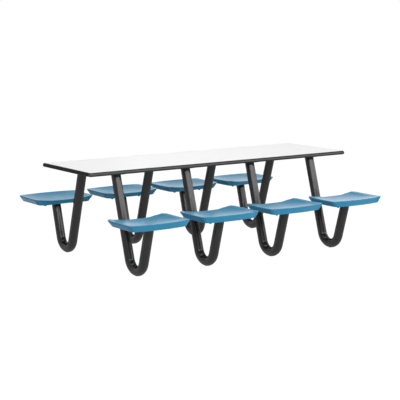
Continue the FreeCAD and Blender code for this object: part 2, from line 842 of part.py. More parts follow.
def fasteners():
    """The bolts, nuts, washers, inserts and screws; returns the masters they are copied from."""
    plate_low = amount(dims(LEG_PLATE_BOTTOM))
    rail_low = amount(dims(RAIL_BOTTOM))
    metal = amount("Dims.rail_metal")
    seat_low = amount("Dims.seat_plate_height")
    washer = amount("Dims.washer_thick")
    masters = []

    def spread(label, master, places):
        masters.append(master)
        group_of_solids(label, master, places)

    leg_length = "leg_plate_thick + rail_metal + nut_height + bolt_tip"
    bolt = headed("leg_bolt_master", "bolt_radius", "bolt_head_radius", "bolt_head_height", leg_length)
    spread("leg_bolts", bolt, at_every_leg(leg_bolt_points(), plate_low))
    nut = hex_piece("nut_master", "nut_radius", "nut_height", bore="bolt_radius + thread_play")
    spread("leg_nuts", nut, at_every_leg(leg_bolt_points(), rail_low + metal))

    columns = [column for _, column in leg_columns()]
    offset = amount("Dims.spine_bolt_place")
    spine_points = [(column + side * offset, 0) for column in columns for side in (-1, 1)]
    depth = amount("Dims.spine_depth")
    spine_length = "rail_metal + spine_depth + nut_height + bolt_tip"
    long_bolt = headed("spine_bolt_master", "bolt_radius", "bolt_head_radius", "bolt_head_height", spine_length)
    upside_down = Rotation(Vector(1, 0, 0), 180)
    heads = [Placement(Vector(x, y, rail_low + metal), upside_down) for x, y in spine_points]
    spread("spine_bolts", long_bolt, heads)
    level = rail_low - depth - amount("Dims.nut_height")
    ends = [Placement(Vector(x, y, level), Rotation()) for x, y in spine_points]
    group_of_solids("spine_nuts", nut, ends)

    head = amount("Dims.seat_bolt_head_height")
    seat_bolt = hex_piece("seat_bolt_master", "seat_bolt_head_radius", "seat_bolt_head_height",
                          shank="seat_bolt_radius", length="seat_bolt_length")
    spread("seat_bolts", seat_bolt, at_every_leg(seat_bolt_points(), seat_low - washer - head))
    ring = turned_master("washer_master", [
        ("seat_bolt_radius + hole_play", "0"),
        ("washer_radius", "0"),
        ("washer_radius", "washer_thick"),
        ("seat_bolt_radius + hole_play", "washer_thick"),
    ])
    spread("seat_washers", ring, at_every_leg(seat_bolt_points(), seat_low - washer))
    insert = turned_master("insert_master", [
        ("seat_bolt_radius + thread_play", "0"),
        ("insert_radius", "0"),
        ("insert_radius", "insert_depth"),
        ("seat_bolt_radius + thread_play", "insert_depth"),
    ])
    spread("seat_inserts", insert, at_every_leg(seat_bolt_points(), amount(dims(SEAT_PLATE_TOP))))

    screw = headed("screw_master", "screw_radius", "screw_head_radius", "screw_head_height", "screw_length")
    brim_low = amount(dims(UNDERSIDE)) - metal
    spots = [(amount(dims(x)), amount(dims(y))) for x, y in screw_places()]
    spread("table_screws", screw, [Placement(Vector(x, y, brim_low), Rotation()) for x, y in spots])
    return masters


# ---------------------------------------------------------------- the whole table

def build():
    fill_sheet()
    table_core()
    flat_sheet("top_laminate", "laminate_thick", "table_height - laminate_thick", drilled=False)
    flat_sheet("underside_backer", "backer_thick", UNDERSIDE, drilled=True)
    edge_moulding()
    frame_spine()
    for number, column in leg_columns():
        cross_rail(number, column)
    shell = seat_shape()
    for number, column in leg_columns():
        for side, turn in both_sides():
            place = Placement(Vector(column, 0, 0), turn)
            leg("%s_leg_%d" % (side, number), place)
            leg_plate("%s_leg_plate_%d" % (side, number), place)
            seat_plate("%s_seat_plate_%d" % (side, number), place)
            seat(shell, "%s_seat_%d" % (side, number), place)
    masters = fasteners()
    glide = floor_glide()
    bend = -amount("Dims.bend_place")
    group_of_solids("floor_glides", glide, at_every_leg([(0, bend)], 0))
    return masters + [glide]


def check_and_export(masters):
    doc.recompute()
    for item in doc.Objects:
        if "Invalid" in item.State or "Error" in item.State:
            raise RuntimeError("%s is %s" % (item.Label, item.State))
    pieces = [item for item in doc.Objects if item.TypeId in ("PartDesign::Body", "Part::Feature")]
    pieces = [item for item in pieces if item not in masters]
    for item in pieces:
        if item.Shape.isNull() or not item.Shape.isValid():
            raise RuntimeError(item.Label + " has no valid shape")
    os.makedirs("parts", exist_ok=True)
    for item in pieces:
        item.Shape.exportStep("parts/%s.step" % item.Label)
    print(len(pieces), "pieces,", sum(len(item.Shape.Solids) for item in pieces), "solids")


check_and_export(build())
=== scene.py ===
import bpy
import math
import numpy as np
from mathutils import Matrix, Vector


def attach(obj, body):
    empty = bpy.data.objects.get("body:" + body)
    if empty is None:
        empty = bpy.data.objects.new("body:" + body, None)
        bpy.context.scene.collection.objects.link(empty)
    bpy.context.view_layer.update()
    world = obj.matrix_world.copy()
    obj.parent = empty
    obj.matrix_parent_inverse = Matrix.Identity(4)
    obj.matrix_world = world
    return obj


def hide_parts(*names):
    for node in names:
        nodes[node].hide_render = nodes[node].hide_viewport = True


# Cafeteria table with eight attached seats, in metres.
# X runs along the table, Y across it, Z up; the front row of seats is on the -Y side.

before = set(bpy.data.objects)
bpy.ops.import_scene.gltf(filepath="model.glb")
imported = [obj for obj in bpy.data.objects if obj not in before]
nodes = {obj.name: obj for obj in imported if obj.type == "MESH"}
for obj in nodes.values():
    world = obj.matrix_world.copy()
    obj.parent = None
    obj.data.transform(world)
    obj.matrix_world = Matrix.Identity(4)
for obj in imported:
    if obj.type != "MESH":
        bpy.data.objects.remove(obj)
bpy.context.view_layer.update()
print("frame loaded:", len(nodes), "nodes")


# mesh helpers that the pieces share

def smoothStep(low, high, value):
    # rises from 0 to 1 between low and high, level at both ends
    share = np.clip((value - low) / (high - low), 0, 1)
    return share * share * (3 - 2 * share)


def unit(vectors):
    # each vector divided by its length
    return vectors / np.linalg.norm(vectors, axis=-1, keepdims=True)


def onceRound(count):
    # evenly spaced angles of one full turn, without the last, which is the first again
    return np.linspace(0, 2 * math.pi, count + 1)[:-1]


def skin(grid, wrapRows=False, poles=False):
    # quads between neighbouring rows of a grid whose columns go right round;
    # the rows wrap too, or a pole at the middle of the first and last row closes each end
    rows, columns = grid.shape[:2]
    index = np.arange(rows * columns).reshape(rows, columns)
    here = index if wrapRows else index[:-1]
    there = np.roll(index, -1, axis=0) if wrapRows else index[1:]
    quads = np.stack([here, np.roll(here, -1, axis=1), np.roll(there, -1, axis=1), there], axis=-1)
    points = grid.reshape(-1, 3)
    faces = quads.reshape(-1, 4).tolist()
    if poles:
        middles = [grid[0].mean(axis=0), grid[-1].mean(axis=0)]
        points = np.vstack([points, middles])
        first, last = index[0], index[-1]
        top = np.stack([np.roll(first, -1), first, np.full(columns, rows * columns)], axis=-1)
        foot = np.stack([last, np.roll(last, -1), np.full(columns, rows * columns + 1)], axis=-1)
        faces += top.tolist() + foot.tolist()
    return points, faces


def outward(points, faces):
    # a closed shell's volume is the sum of the tetrahedra from the origin to its triangles;
    # where that sum is negative, the faces point inwards and are turned round
    triangles = [face[:3] for face in faces]
    triangles += [face[2:] + face[:1] for face in faces if len(face) == 4]
    corners = np.array(triangles)
    a, b, c = (points[corners[:, side]] for side in range(3))
    if np.einsum("ij,ij->i", a, np.cross(b, c)).sum() < 0:
        faces = [face[::-1] for face in faces]
    return points, faces


def makePiece(name, shells, slot, replaced=(), sharpAngle=40):
    # several closed shells in one mesh, each with its faces outwards, in the finish of their slot
    points, faces, start = [], [], 0
    for shell in shells:
        shellPoints, shellFaces = outward(*shell)
        points.append(shellPoints)
        faces += [[corner + start for corner in face] for face in shellFaces]
        start += len(shellPoints)
    mesh = bpy.data.meshes.new(name)
    mesh.from_pydata(np.vstack(points).tolist(), [], faces)
    mesh.polygons.foreach_set("use_smooth", [True] * len(faces))
    mesh.set_sharp_from_angle(angle=math.radians(sharpAngle))
    mesh.materials.append(finishes[slot])
    piece = bpy.data.objects.new(name, mesh)
    bpy.context.scene.collection.objects.link(piece)
    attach(piece, "root")
    if replaced:
        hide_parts(*replaced)


def turned(points, side):
    # the rear row is the front row turned half a turn about Z
    if side == "rear":
        points = points * np.array([-1, -1, 1])
    return points


# material helpers

noiseSpan = {
    "colour": (0.35, 0.65),       # over this part of a noise's range one colour turns into the other
    "roughness": (0.3, 0.7),      # most of a noise lies in this part, which fills the roughness's range
}


def newMaterial(name, settings):
    # settings are values for the shader's sockets, by name
    material = bpy.data.materials.new(name)
    material.use_nodes = True
    shader = material.node_tree.nodes["Principled BSDF"]
    for socket, value in settings.items():
        shader.inputs[socket].default_value = value
    return material, shader


def addNode(material, kind, settings=(), **inputs):
    # settings are the node's own; inputs are values or other nodes' outputs, with _ for a space
    node = material.node_tree.nodes.new(kind)
    for name, value in dict(settings).items():
        setattr(node, name, value)
    for name, value in inputs.items():
        socket = node.inputs[name.replace("_", " ")]
        if isinstance(value, bpy.types.NodeSocket):
            material.node_tree.links.new(value, socket)
        else:
            socket.default_value = value
    return node


def join(material, output, node, socket):
    material.node_tree.links.new(output, node.inputs[socket])


def noise(material, scale, detail, stretch=(1, 1, 1)):
    # noise on the piece's own coordinates, a metre across at scale 1
    place = addNode(material, "ShaderNodeTexCoord").outputs["Object"]
    mapped = addNode(material, "ShaderNodeMapping", Vector=place, Scale=stretch).outputs["Vector"]
    return addNode(material, "ShaderNodeTexNoise", Vector=mapped, Scale=scale, Detail=detail).outputs["Fac"]


def spread(material, value, low, high):
    # a straight line that takes the middle of the noise to the range from low to high
    start, end = noiseSpan["roughness"]
    node = addNode(
        material, "ShaderNodeMapRange", Value=value, From_Min=start, From_Max=end, To_Min=low, To_Max=high
    )
    return node.outputs["Result"]


def twoColours(material, value, first, second):
    # a straight line from one colour to the other over the middle of the noise
    ramp = addNode(material, "ShaderNodeValToRGB", Fac=value)
    for stop, place, colour in zip(ramp.color_ramp.elements, noiseSpan["colour"], (first, second)):
        stop.position = place
        stop.color = (*colour, 1)
    return ramp.outputs["Color"]


def relief(material, shader, value, strength, depth):
    # bump of a given depth in metres
    bump = addNode(material, "ShaderNodeBump", Strength=strength, Distance=depth, Height=value)
    join(material, bump.outputs["Normal"], shader, "Normal")


def gloss(material, shader, levels):
    # strength of the reflections by how far the surface turns from the eye, where 0 faces it and
    # 1 is edge on; it eases from each stop's level to the next
    turn = addNode(material, "ShaderNodeLayerWeight", Blend=0.5).outputs["Facing"]
    ramp = addNode(material, "ShaderNodeValToRGB", Fac=turn)
    ramp.color_ramp.interpolation = "EASE"
    stops = ramp.color_ramp.elements
    for number, (place, level) in enumerate(levels):
        stop = stops[number] if number < 2 else stops.new(place)
        stop.position = place
        stop.color = (level, level, level, 1)
    shader.inputs["Specular IOR Level"].default_value = levels[0][1]
    join(material, ramp.outputs["Color"], shader, "Specular IOR Level")


def makeFinish(name, finish):
    # one noise mixes the two colours, one spreads the roughness and one raises the relief; the
    # colours' noise serves for those that a finish doesn't give
    material, shader = newMaterial(name, finish["settings"])
    if "gloss" in finish:
        gloss(material, shader, finish["gloss"])
    cloud = noise(material, *finish["colourNoise"])
    wear = noise(material, *finish["roughNoise"]) if "roughNoise" in finish else cloud
    grain = noise(material, *finish["reliefNoise"]) if "reliefNoise" in finish else cloud
    join(material, twoColours(material, cloud, *finish["colours"]), shader, "Base Color")
    join(material, spread(material, wear, *finish["roughness"]), shader, "Roughness")
    relief(material, shader, grain, *finish["relief"])
    return material


# the finishes: a noise is (scale, detail) and maybe how far it is squeezed along X, Y and Z,
# relief is (strength, depth), and gloss is a row of (turn from the eye, level) stops

seatFinish = {
    "settings": {"IOR": 1.5, "Sheen Weight": 0.20, "Sheen Roughness": 0.45},
    "colours": ((0.020, 0.237, 0.420), (0.025, 0.252, 0.443)),
    "colourNoise": (7.0, 3.0),
    "roughness": (0.30, 0.38),
    "roughNoise": (40.0, 2.0),
    "gloss": ((0.36, 0.28), (0.52, 0.0), (0.63, 0.0), (0.88, 0.33)),
    "reliefNoise": (900.0, 1.0),      # moulded stipple, about a millimetre across
    "relief": (0.35, 0.00012),
}

frameFinish = {
    "settings": {"IOR": 1.5},
    "colours": ((0.016, 0.016, 0.017), (0.022, 0.022, 0.023)),
    "colourNoise": (12.0, 2.0),
    "roughness": (0.12, 0.17),
    "roughNoise": (60.0, 2.0),
    "gloss": ((0.35, 0.30), (0.80, 0.0)),
    "reliefNoise": (420.0, 1.0),      # the low ripple of sprayed paint
    "relief": (0.3, 0.00002),
}

edgeFinish = {
    "settings": {"IOR": 1.48},
    "colours": ((0.020, 0.020, 0.020), (0.027, 0.027, 0.027)),
    "colourNoise": (500.0, 1.0),
    "roughness": (0.36, 0.46),
    "roughNoise": (30.0, 2.0),
    "gloss": ((0.17, 0.62), (0.46, 0.02)),
    "relief": (0.3, 0.0001),
}

topFinish = {
    "settings": {"IOR": 1.5, "Specular IOR Level": 0.45},
    "colours": ((0.85, 0.85, 0.85), (0.88, 0.88, 0.88)),
    "colourNoise": (260.0, 3.0),      # a faint fleck
    "roughness": (0.36, 0.44),
    "roughNoise": (25.0, 2.0),
    "reliefNoise": (1400.0, 1.0),
    "relief": (0.2, 0.00005),
}

backingFinish = {
    "settings": {"IOR": 1.5},
    "colours": ((0.60, 0.59, 0.57), (0.68, 0.67, 0.65)),
    "colourNoise": (160.0, 4.0, (1, 6, 1)),     # paper fibre, drawn out along the table
    "roughness": (0.55, 0.7),
    "relief": (0.2, 0.0001),
}

coreFinish = {
    "settings": {"IOR": 1.5},
    "colours": ((0.28, 0.18, 0.10), (0.52, 0.38, 0.23)),
    "colourNoise": (220.0, 4.0, (1, 1, 3)),     # chips pressed flat
    "roughness": (0.75, 0.9),
    "relief": (0.4, 0.0004),
}

nylonFinish = {
    "settings": {"IOR": 1.53},
    "colours": ((0.012, 0.012, 0.013), (0.022, 0.022, 0.023)),
    "colourNoise": (120.0, 2.0),
    "roughness": (0.45, 0.6),
    "reliefNoise": (700.0, 1.0),
    "relief": (0.2, 0.0001),
}


def metalFinish(first, second, roughness, scale):
    # plated or turned metal: a faint cloud in colour and in roughness
    return {
        "settings": {"Metallic": 1.0},
        "colours": (first, second),
        "colourNoise": (scale, 3.0),
        "roughness": roughness,
        "reliefNoise": (900.0, 1.0),
        "relief": (0.2, 0.00005),
    }


zincFinish = metalFinish((0.50, 0.51, 0.53), (0.62, 0.63, 0.64), (0.28, 0.42), 90.0)
oxideFinish = metalFinish((0.020, 0.020, 0.022), (0.036, 0.036, 0.039), (0.34, 0.48), 90.0)
brassFinish = metalFinish((0.62, 0.46, 0.20), (0.72, 0.55, 0.26), (0.25, 0.38), 120.0)

finishes = {
    "white_laminate": makeFinish("whiteLaminate", topFinish),
    "core_board": makeFinish("coreBoard", coreFinish),
    "backing_sheet": makeFinish("backingPaper", backingFinish),
    "black_edge": makeFinish("blackEdgeVinyl", edgeFinish),
    "black_frame": makeFinish("blackFramePaint", frameFinish),
    "blue_seat": makeFinish("blueSeatPlastic", seatFinish),
    "black_nylon": makeFinish("blackNylon", nylonFinish),
    "zinc_steel": makeFinish("zincPlate", zincFinish),
    "black_steel": makeFinish("blackOxide", oxideFinish),
    "insert_brass": makeFinish("turnedBrass", brassFinish),
}
print("materials made:", len(finishes))


# the moulding round the table top

topEdge = {
    "length": 2.452,
    "width": 0.742,
    "top": 0.762,
    "thick": 0.0295,
    "cover": 0.016,           # how far the moulding stands out from the board
    "corner": 0.023,
    "upperNose": 0.0155,
    "lowerNose": 0.0125,
    "barbDepth": 0.0055,
    "barbThick": 0.003,
    "barbRise": 0.0131,       # from the underside to the barb
    "cornerSteps": 24,
    "sideSteps": 20,
    "noseSteps": 14,
    "sharpAngle": 50,
}


def roundedRectangle(length, width, radius):
    # points round a rectangle with round corners, and the direction straight out at each:
    # a corner's points are its centre plus the radius times (cosine, sine), the sides are straight between
    places, ways = [], []
    quarter = np.linspace(0, math.pi / 2, topEdge["cornerSteps"] + 1)
    centres = [(1, 1), (-1, 1), (-1, -1), (1, -1)]
    for number, (signX, signY) in enumerate(centres):
        angle = quarter + number * math.pi / 2
        way = np.stack([np.cos(angle), np.sin(angle)], axis=-1)
        centre = np.array([signX * (length / 2 - radius), signY * (width / 2 - radius)])
        places.append(centre + radius * way)
        ways.append(way)
    loop, out = [], []
    share = np.linspace(0, 1, topEdge["sideSteps"] + 1)[1:-1, None]
    for number in range(4):
        first, last = places[number], places[(number + 1) % 4]
        loop += [first, first[-1] * (1 - share) + last[0] * share]
        out += [ways[number], np.repeat(ways[number][-1:], len(share), axis=0)]
    return np.vstack(loop), np.vstack(out)


def edgeProfile():
    # (out, height) round the moulding's section: a quarter circle up from the underside, a larger
    # one over to the top, each a centre plus the radius times a sine and a cosine, and the barb behind
    thick, cover = topEdge["thick"], topEdge["cover"]
    lower, upper = topEdge["lowerNose"], topEdge["upperNose"]
    turn = np.linspace(0, math.pi / 2, topEdge["noseSteps"] + 1)
    low = np.stack([cover - lower + lower * np.sin(turn), lower - lower * np.cos(turn)], axis=-1)
    high = np.stack([cover - upper + upper * np.cos(turn), thick - upper + upper * np.sin(turn)], axis=-1)
    barbLow = topEdge["barbRise"]
    barbHigh = barbLow + topEdge["barbThick"]
    depth = topEdge["barbDepth"]
    barb = np.array([[0, thick], [0, barbHigh], [-depth, barbHigh], [-depth, barbLow], [0, barbLow], [0, 0]])
    return np.vstack([low, high, barb])


def edgeMoulding():
    # the section carried round the board: place plus (way out times out), height on Z
    cover = topEdge["cover"]
    loop, out = roundedRectangle(
        topEdge["length"] - 2 * cover, topEdge["width"] - 2 * cover, topEdge["corner"] - cover
    )
    section = edgeProfile()
    flat = loop[None] + out[None] * section[:, None, :1]
    base = topEdge["top"] - topEdge["thick"]
    height = np.broadcast_to(base + section[:, None, 1:], flat.shape[:2] + (1,))
    grid = np.concatenate([flat, height], axis=-1)
    shells = [skin(grid, wrapRows=True)]
    makePiece("top_edge_moulding", shells, "black_edge", ["edge_moulding"], topEdge["sharpAngle"])


edgeMoulding()
print("table edge made")


# the eight bent tubes and their welds

leg = {
    "spacing": 0.622,
    "place": 0.5297,          # the bend's middle, out from the middle of the table
    "clear": 0.0012,          # gap between the bend and the floor
    "bend": 0.1016,           # radius of the bend's middle line
    "tube": 0.036,            # outer radius
    "tableLean": 16.9,        # degrees off upright
    "seatLean": 15.85,
    "tableEnd": 0.720,        # heights of the level ends
    "seatEnd": 0.382,
    "armSteps": 14,
    "bendSteps": 48,
    "roundSteps": 48,
}
weld = {
    "bead": 0.0028,
    "bite": 0.0008,           # how far out of the joint the bead's middle line lies
    "ripple": 0.10,           # share by which the bead swells and shrinks
    "ripples": 44,
    "longSteps": 192,
    "roundSteps": 10,
    "sharpAngle": 80,
}
# numbered from the -X end, with the middle of the table between 2 and 3
columns = [(number, (number - 2.5) * leg["spacing"]) for number in (1, 2, 3, 4)]
sides = ("front", "rear")


def bendHeight():
    # the tube's radius and the bend's radius above the gap
    return leg["clear"] + leg["tube"] + leg["bend"]


def armEnd(lean, top):
    # how far out from the bend's middle an arm's middle line is at a height: the bend's radius over
    # the lean's cosine, and the height above the bend's middle times its tangent
    lean = math.radians(lean)
    return leg["bend"] / math.cos(lean) + (top - bendHeight()) * math.tan(lean)


def tubeGrid():
    # middle line: a straight arm down from the table, the bend, a straight arm up to the seat;
    # each ring is the middle line's point plus the radius times (cosine on X, sine on the bend's way out)
    tableLean, seatLean = math.radians(leg["tableLean"]), math.radians(leg["seatLean"])
    angle = np.linspace(-tableLean, -math.pi + seatLean, leg["bendSteps"] + 1)
    way = np.stack([np.cos(angle), np.sin(angle)], axis=-1)
    middle = way * leg["bend"] + np.array([0, bendHeight()])
    tableHead = np.array([armEnd(leg["tableLean"], leg["tableEnd"]), leg["tableEnd"]])
    seatHead = np.array([-armEnd(leg["seatLean"], leg["seatEnd"]), leg["seatEnd"]])
    steps = leg["armSteps"]
    share = np.linspace(0, 1, steps + 1)[:-1, None]
    middle = np.vstack([
        tableHead * (1 - share) + middle[0] * share,
        middle,
        (seatHead * (1 - share) + middle[-1] * share)[::-1],
    ])
    way = np.vstack([np.repeat(way[:1], steps, axis=0), way, np.repeat(way[-1:], steps, axis=0)])
    turn = onceRound(leg["roundSteps"])
    x = np.broadcast_to(leg["tube"] * np.cos(turn), (len(middle), len(turn)))
    yz = middle[:, None] + leg["tube"] * np.sin(turn)[None, :, None] * way[:, None]
    grid = np.concatenate([x[..., None], yz], axis=-1)
    # both ends are level: their points slide along the arm until they reach the plate
    ends = ((0, tableLean, leg["tableEnd"]), (-1, -seatLean, leg["seatEnd"]))
    for row, lean, level in ends:
        gap = level - grid[row, :, 2]
        grid[row, :, 1] += gap * math.tan(lean)
        grid[row, :, 2] = level
    return grid


def beadGrid(lean, level, sign):
    # the bead's middle line is the ellipse where the tube meets its plate; its section is a small
    # circle whose radius swells and shrinks with a sine of the way round, cut off at the plate
    around = onceRound(weld["longSteps"])
    ring = onceRound(weld["roundSteps"])
    long = leg["tube"] / math.cos(math.radians(lean))
    ellipse = np.stack([leg["tube"] * np.cos(around), long * np.sin(around)], axis=-1)
    out = unit(np.stack([long * np.cos(around), leg["tube"] * np.sin(around)], axis=-1))
    size = weld["bead"] * (1 + weld["ripple"] * np.sin(weld["ripples"] * around))
    reach = weld["bite"] + size[:, None] * np.cos(ring)
    flat = ellipse[:, None] + out[:, None] * reach[..., None]
    height = level - weld["bite"] + size[:, None] * np.sin(ring)
    height = np.minimum(height, level)
    flat[..., 1] += sign * armEnd(lean, level)
    return np.concatenate([flat, height[..., None]], axis=-1)


def placed(grid, column, side):
    # a front leg's grid set at its column; the rear leg is that turned half a turn about Z
    moved = grid + np.array([0, -leg["place"], 0])
    return turned(moved, side) + np.array([column, 0, 0])


tube = tubeGrid()
beads = {
    "table": beadGrid(leg["tableLean"], leg["tableEnd"], 1),
    "seat": beadGrid(leg["seatLean"], leg["seatEnd"], -1),
}
for number, column in columns:
    for side in sides:
        shells = [skin(placed(tube, column, side), poles=True)]
        node = "%s_leg_%d" % (side, number)
        makePiece("%s_leg_tube_%d" % (side, number), shells, "black_frame", [node])
for end, bead in beads.items():
    shells = [skin(placed(bead, column, side), wrapRows=True) for number, column in columns for side in sides]
    makePiece("%s_end_welds" % end, shells, "black_frame", sharpAngle=weld["sharpAngle"])
print("legs and welds made")


# the eight moulded seats

seat = {
    "low": 0.397,             # the turned-down rim's lower edge
    "rim": 0.4445,
    "wall": 0.005,
    "rimRound": 0.005,
    "footRound": 0.0018,
    "innerRound": 0.004,
    "bow": 1.0,               # radius of the outer side
    "tableSideDrop": 0.016,   # how much lower the middle of the table side is than the rim
    "riseStart": 0.020,       # between these widths the table side rises back to the rim
    "riseEnd": 0.225,
    "risePower": 2.4,
    "outPower": 1.5,
    "dish": 0.014,
    "dishPower": 4,
    "middle": 0.705,
    # half width, table side, how far that side bends in, outer side, the two corners
    "lowEdge": np.array([0.228, 0.528, 0.010, 0.879, 0.054, 0.028]),
    "rimEdge": np.array([0.262, 0.521, 0.018, 0.889, 0.047, 0.028]),
    "wallScoop": (0.105, 0.172),    # between these widths the table side's bend fades out of the wall
    "topScoop": (0.105, 0.215),     # and between these out of the sitting surface
    "rimFade": 12,                  # power with which a rim row's own height fades in
    "slopeStep": 0.002,             # the sitting surface's slope is taken over this length
    "wallRounds": 8,                # rounds in which a wall's height settles
    # the underside: a boss on each mounting hole, and five ribs
    "holeX": 0.130,
    "holeY": 0.063,
    "plateMiddle": 0.704,
    "plateTop": 0.387,
    "boss": 0.014,
    "insertHole": 0.00705,
    "insertDepth": 0.0185,
    "holeBevel": 0.0006,
    "bossFoot": ((-0.0010, 0.0), (-0.0002, 0.0006), (0.0, 0.0018)),    # (out, up) round a post's foot
    "bossFlare": ((0.0006, -0.0040), (0.0030, 0.0)),    # (out, up) where it widens into the underside
    "rib": 0.0030,
    "ribTaper": 0.84,         # thickness of a rib's lower edge as a share of its upper one's
    "ribLow": 0.405,
    "ribDrop": 0.012,         # how far below the rim a rib's upper edge meets the walls
    "root": 0.001,            # how far ribs and bosses reach into the walls and the underside
    # how finely each stretch is divided
    "steps": {
        "tableSide": 20, "nearCorner": 14, "end": 16, "farCorner": 12, "outerSide": 22,
        "top": 34, "rim": 9, "rounding": 6, "wall": 8, "under": 20, "rib": 25, "boss": 32,
    },
    "sharpAngle": 45,
}


def seatTop(x, out):
    # height of the sitting surface: the table side sinks in the middle and rises to its ends with a
    # power of the width; from there the height grows to the outer rim with a power of the share of
    # the way out, and a dish is taken off that is a parabola across the way out and one minus a
    # higher power along the width
    wide = np.abs(x)
    inner = seat["rimEdge"][1] + seat["rimEdge"][2] * (1 - smoothStep(*seat["topScoop"], wide))
    outer = seat["rimEdge"][3] - wide ** 2 / (2 * seat["bow"])
    share = (out - inner) / (outer - inner)
    width = np.clip((wide - seat["riseStart"]) / (seat["riseEnd"] - seat["riseStart"]), 0, 1)
    tableSide = seat["rim"] - seat["tableSideDrop"] * (1 - width ** seat["risePower"])
    level = tableSide + (seat["rim"] - tableSide) * np.maximum(share, 0) ** seat["outPower"]
    hollow = 4 * share * (1 - share) * (1 - (wide / seat["rimEdge"][0]) ** seat["dishPower"])
    return level - seat["dish"] * hollow


def wallShare(height):
    # share of the way from the lower edge to the rim
    return (height - seat["low"]) / (seat["rim"] - seat["low"])


def edgeAt(share):
    # the outline's numbers at that share, on a straight line between the two edges' numbers
    return seat["lowEdge"] + share * (seat["rimEdge"] - seat["lowEdge"])


def tableSideOut(share, wide):
    # how far out the table side's wall is: it bends in around the middle, and the bend fades out
    inner, bend = edgeAt(share)[1:3]
    return inner + bend * (1 - smoothStep(*seat["wallScoop"], wide))


def seatOutline(share):
    # plan of the seat at a share of the way from the lower edge to the rim, once round:
    # the table side with its bend, a corner, the end, a corner and half the bowed outer side, then mirrored
    half, inner, _, outer, near, far = edgeAt(share)
    bow, steps = seat["bow"], seat["steps"]
    start = np.linspace(0, half - near, steps["tableSide"] + 1)
    tableSide = np.stack([start, tableSideOut(share, start)], axis=-1)
    turn = np.linspace(0, math.pi / 2, steps["nearCorner"] + 1)[1:]
    nearCorner = np.stack([half - near + near * np.sin(turn), inner + near - near * np.cos(turn)], axis=-1)
    bowMiddle = outer - bow
    cornerOut = bowMiddle + math.sqrt((bow - far) ** 2 - (half - far) ** 2)
    lean = math.atan2(cornerOut - bowMiddle, half - far)
    rise = np.linspace(inner + near, cornerOut, steps["end"] + 1)[1:]
    end = np.stack([np.full(len(rise), half), rise], axis=-1)
    turn = np.linspace(0, lean, steps["farCorner"] + 1)[1:]
    farCorner = np.stack([half - far + far * np.cos(turn), cornerOut + far * np.sin(turn)], axis=-1)
    sweep = np.linspace(lean, math.pi / 2, steps["outerSide"] + 1)[1:]
    outerSide = np.stack([bow * np.cos(sweep), bowMiddle + bow * np.sin(sweep)], axis=-1)
    right = np.vstack([tableSide, nearCorner, end, farCorner, outerSide])
    left = right[-2:0:-1] * np.array([-1, 1])
    return np.vstack([right, left])


def sideways(plan):
    # the way straight out of a closed plan: its direction of travel turned a quarter turn
    travel = unit(np.roll(plan, -1, axis=0) - np.roll(plan, 1, axis=0))
    return np.stack([travel[:, 1], -travel[:, 0]], axis=-1)


def at(plan, height):
    # a plan's points with a height on Z, the same for all or one for each
    return np.concatenate([plan, np.broadcast_to(height, plan.shape[:1])[:, None]], axis=-1)


def rounding(corner, one, two, radius, steps):
    # an arc that rounds a corner between two directions: its centre lies on their bisector, and
    # its points turn evenly from the first tangent point to the second
    cosine = np.einsum("ij,ij->i", one, two)[:, None]
    halfAngle = np.arccos(np.clip(cosine, -1, 1)) / 2
    centre = corner + unit(one + two) * radius / np.sin(halfAngle)
    first = corner + one * radius / np.tan(halfAngle) - centre
    last = corner + two * radius / np.tan(halfAngle) - centre
    swing = math.pi - 2 * halfAngle
    share = np.linspace(0, 1, steps)[:, None, None]
    return centre + (np.sin((1 - share) * swing) * first + np.sin(share * swing) * last) / np.sin(swing)


def wallTop(inset, drop):
    # where the wall, moved in by an inset, meets the sitting surface, lowered by a drop: the surface's
    # height over the wall gives a new place on the wall, round after round
    low = seatOutline(0) - sideways(seatOutline(0)) * inset
    high = seatOutline(1) - sideways(seatOutline(1)) * inset
    share = np.ones(len(low))
    for _ in range(seat["wallRounds"]):
        plan = low + share[:, None] * (high - low)
        level = seatTop(plan[:, 0], plan[:, 1]) - drop
        share = wallShare(level)
    return at(low, seat["low"]), at(plan, level)


def sheetRows(rimRow, drop, rows):
    # rows from the middle of the seat out to a rim row, each a smaller copy of the rim row's plan laid
    # on the sitting surface; what the rim row differs from that surface fades in near it, with a high
    # power of the share of the way out
    share = np.sin(np.linspace(0, math.pi / 2, rows + 1))[1:-1, None, None]
    middle = np.array([0, seat["middle"]])
    plan = middle + share * (rimRow[None, :, :2] - middle)
    miss = rimRow[:, 2] - (seatTop(rimRow[:, 0], rimRow[:, 1]) - drop)
    height = seatTop(plan[..., 0], plan[..., 1]) - drop + miss * share[..., 0] ** seat["rimFade"]
    return np.concatenate([plan, height[..., None]], axis=-1)


def insideWay(corner, way, drop):
    # the way inwards along the sitting surface, from its height a small step further in
    step = corner[:, :2] - way * seat["slopeStep"]
    return unit(at(step, seatTop(step[:, 0], step[:, 1]) - drop) - corner)


